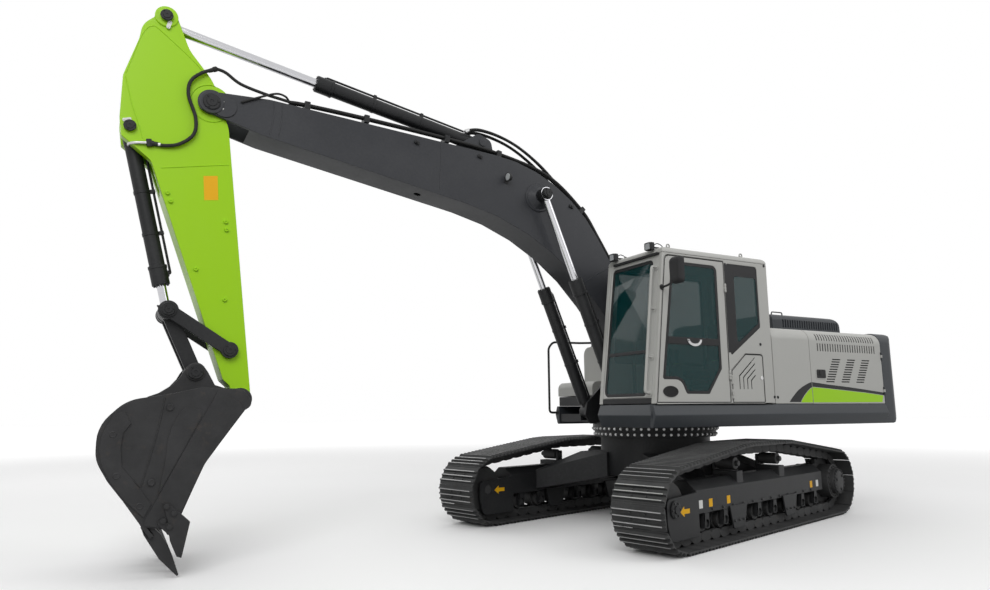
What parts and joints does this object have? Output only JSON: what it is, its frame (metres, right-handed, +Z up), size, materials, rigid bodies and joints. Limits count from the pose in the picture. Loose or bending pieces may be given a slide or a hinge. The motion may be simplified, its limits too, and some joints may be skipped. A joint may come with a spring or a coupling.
{
  "type": "crawler excavator",
  "caption": "Crawler excavator with a two-piece digging front, enclosed cab, hydraulic cylinders and steel tracks",
  "frame": {"origin": "On the ground under the middle of the bounding box", "axes": "X forward along the boom, Y to the operator's left, Z up; the tracks are turned 16 degrees to the left"},
  "size_m": [9.4331, 4.3441, 5.2869],
  "materials": {
    "lime_paint": "gloss paint",
    "boom_grey": "satin paint",
    "panel_grey": "satin paint",
    "slate_paint": "satin paint",
    "black_paint": "satin paint",
    "track_steel": "rough dusty steel",
    "rod_chrome": "polished",
    "window_glass": "tinted",
    "hose_rubber": "matt",
    "seat_cloth": "woven",
    "dark_plastic": "grained"
  },
  "bodies": {
    "undercarriage": {"car_body": "black_paint", "track_frame_left": "black_paint", "track_frame_right": "black_paint", "track_left": "track_steel", "track_right": "track_steel", "link_chain_left": "track_steel", "link_chain_right": "track_steel", "idlers": "track_steel", "sprockets": "track_steel", "track_rollers": "track_steel", "carrier_rollers": "track_steel", "slew_ring": "black_paint"},
    "upper": {"swing_frame": "black_paint", "side_skirts": "slate_paint", "counterweight": "slate_paint", "engine_block": "track_steel", "house_panels": "panel_grey", "right_tanks": "panel_grey", "tool_box": "black_paint", "cab_floor": "dark_plastic", "cab_front": "panel_grey", "cab_left": "panel_grey", "cab_right": "panel_grey", "cab_rear": "panel_grey", "cab_roof": "panel_grey", "cab_glass": "window_glass", "operator_seat": "seat_cloth", "control_consoles": "dark_plastic", "handrails": "panel_grey", "side_mirror": "dark_plastic", "work_lamps": "dark_plastic"},
    "cab_door": {"cab_door": "panel_grey", "door_glass": "window_glass"},
    "side_hatch": {"side_hatch": "panel_grey"},
    "left_service_door": {"left_service_door": "panel_grey"},
    "right_service_door": {"right_service_door": "panel_grey"},
    "engine_hood": {"engine_hood": "slate_paint"},
    "tool_box_lid": {"tool_box_lid": "panel_grey"},
    "boom": {"boom": "boom_grey", "boom_pipes": "black_paint"},
    "arm": {"arm": "lime_paint", "arm_hose": "hose_rubber"},
    "bucket": {"bucket": "black_paint", "bucket_teeth": "track_steel", "side_cutters": "track_steel"},
    "bucket_levers": {"bucket_levers": "black_paint"},
    "bucket_link": {"bucket_link": "black_paint"},
    "boom_barrels": {"boom_barrels": "black_paint"},
    "boom_rods": {"boom_rods": "rod_chrome"},
    "arm_barrel": {"arm_barrel": "black_paint"},
    "arm_rod": {"arm_rod": "rod_chrome"},
    "bucket_barrel": {"bucket_barrel": "black_paint"},
    "bucket_rod": {"bucket_rod": "rod_chrome"}
  },
  "joints": [
    {"name": "swing", "type": "hinge", "parent": "undercarriage", "child": "upper", "pos_m": [-1.653, 0, 1.1], "axis": [0, 0, 1], "continuous": true},
    {"name": "boom_lift", "type": "hinge", "parent": "upper", "child": "boom", "pos_m": [-1.453, 0, 2], "axis": [0, -1, 0], "range_deg": [-58, 30]},
    {"name": "arm_reach", "type": "hinge", "parent": "boom", "child": "arm", "pos_m": [3.93694, 0, 4.375], "axis": [0, 1, 0], "range_deg": [-95, 12], "deforming": ["arm_hose"]},
    {"name": "bucket_curl", "type": "hinge", "parent": "arm", "child": "bucket", "pos_m": [3.52745, 0, 1.48689], "axis": [0, 1, 0], "range_deg": [-20, 140]},
    {"name": "cab_door_hinge", "type": "hinge", "parent": "upper", "child": "cab_door", "pos_m": [-1.564, 1.444, 2.2], "axis": [0, 0, 1], "range_deg": [0, 90]},
    {"name": "side_hatch_hinge", "type": "hinge", "parent": "upper", "child": "side_hatch", "pos_m": [-1.592, 1.444, 1.65], "axis": [0, 0, -1], "range_deg": [0, 90]},
    {"name": "left_service_door_hinge", "type": "hinge", "parent": "upper", "child": "left_service_door", "pos_m": [-4.35, 1.421, 1.9], "axis": [0, 0, 1], "range_deg": [0, 100]},
    {"name": "right_service_door_hinge", "type": "hinge", "parent": "upper", "child": "right_service_door", "pos_m": [-4.35, -1.421, 1.9], "axis": [0, 0, -1], "range_deg": [0, 100]},
    {"name": "engine_hood_hinge", "type": "hinge", "parent": "upper", "child": "engine_hood", "pos_m": [-4.231, 0, 2.349], "axis": [0, -1, 0], "range_deg": [0, 65]},
    {"name": "tool_box_lid_hinge", "type": "hinge", "parent": "upper", "child": "tool_box_lid", "pos_m": [-1.559, -0.98, 1.755], "axis": [0, -1, 0], "range_deg": [0, 80]},
    {"name": "boom_cylinder_tilt", "type": "hinge", "parent": "upper", "child": "boom_barrels", "pos_m": [-0.86, 0, 1.344], "axis": [0, -1, 0], "range_deg": [-54.18, 28.07]},
    {"name": "boom_cylinder_stroke", "type": "slide", "parent": "boom_barrels", "child": "boom_rods", "axis": [0.3777, 0, 0.9259], "range_m": [-0.8345, 0.4326]},
    {"name": "arm_cylinder_tilt", "type": "hinge", "parent": "boom", "child": "arm_barrel", "pos_m": [0.89981, 0, 4.52946], "axis": [0, 1, 0], "range_deg": [-1.94, 0.33]},
    {"name": "arm_cylinder_stroke", "type": "slide", "parent": "arm_barrel", "child": "arm_rod", "axis": [0.9829, 0, 0.1839], "range_m": [-1.3876, 0.177]},
    {"name": "lever_swing", "type": "hinge", "parent": "arm", "child": "bucket_levers", "pos_m": [3.64618, 0, 1.94677], "axis": [0, 1, 0], "range_deg": [-15.06, 104.79]},
    {"name": "link_swing", "type": "hinge", "parent": "bucket_levers", "child": "bucket_link", "pos_m": [4.19707, 0, 2.29892], "axis": [0, 1, 0], "range_deg": [-77.45, 11.15]},
    {"name": "bucket_cylinder_tilt", "type": "hinge", "parent": "arm", "child": "bucket_barrel", "pos_m": [4.62788, 0, 4.01241], "axis": [0, 1, 0], "range_deg": [-2.45, 0.44]},
    {"name": "bucket_cylinder_stroke", "type": "slide", "parent": "bucket_barrel", "child": "bucket_rod", "axis": [-0.2438, 0, -0.9698], "range_m": [-0.1525, 1.0554]}
  ],
  "couplings": [
    {"joint": "boom_cylinder_tilt", "follows": "boom_lift", "ratio": 0.9324},
    {"joint": "boom_cylinder_stroke", "follows": "boom_lift", "m_per_rad": 0.8224},
    {"joint": "arm_cylinder_tilt", "follows": "arm_reach", "ratio": 0.0194},
    {"joint": "arm_cylinder_stroke", "follows": "arm_reach", "m_per_rad": 0.8357},
    {"joint": "lever_swing", "follows": "bucket_curl", "ratio": 0.7478},
    {"joint": "link_swing", "follows": "bucket_curl", "ratio": -0.5525},
    {"joint": "bucket_cylinder_tilt", "follows": "bucket_curl", "ratio": -0.0168},
    {"joint": "bucket_cylinder_stroke", "follows": "bucket_curl", "m_per_rad": 0.4311}
  ]
}
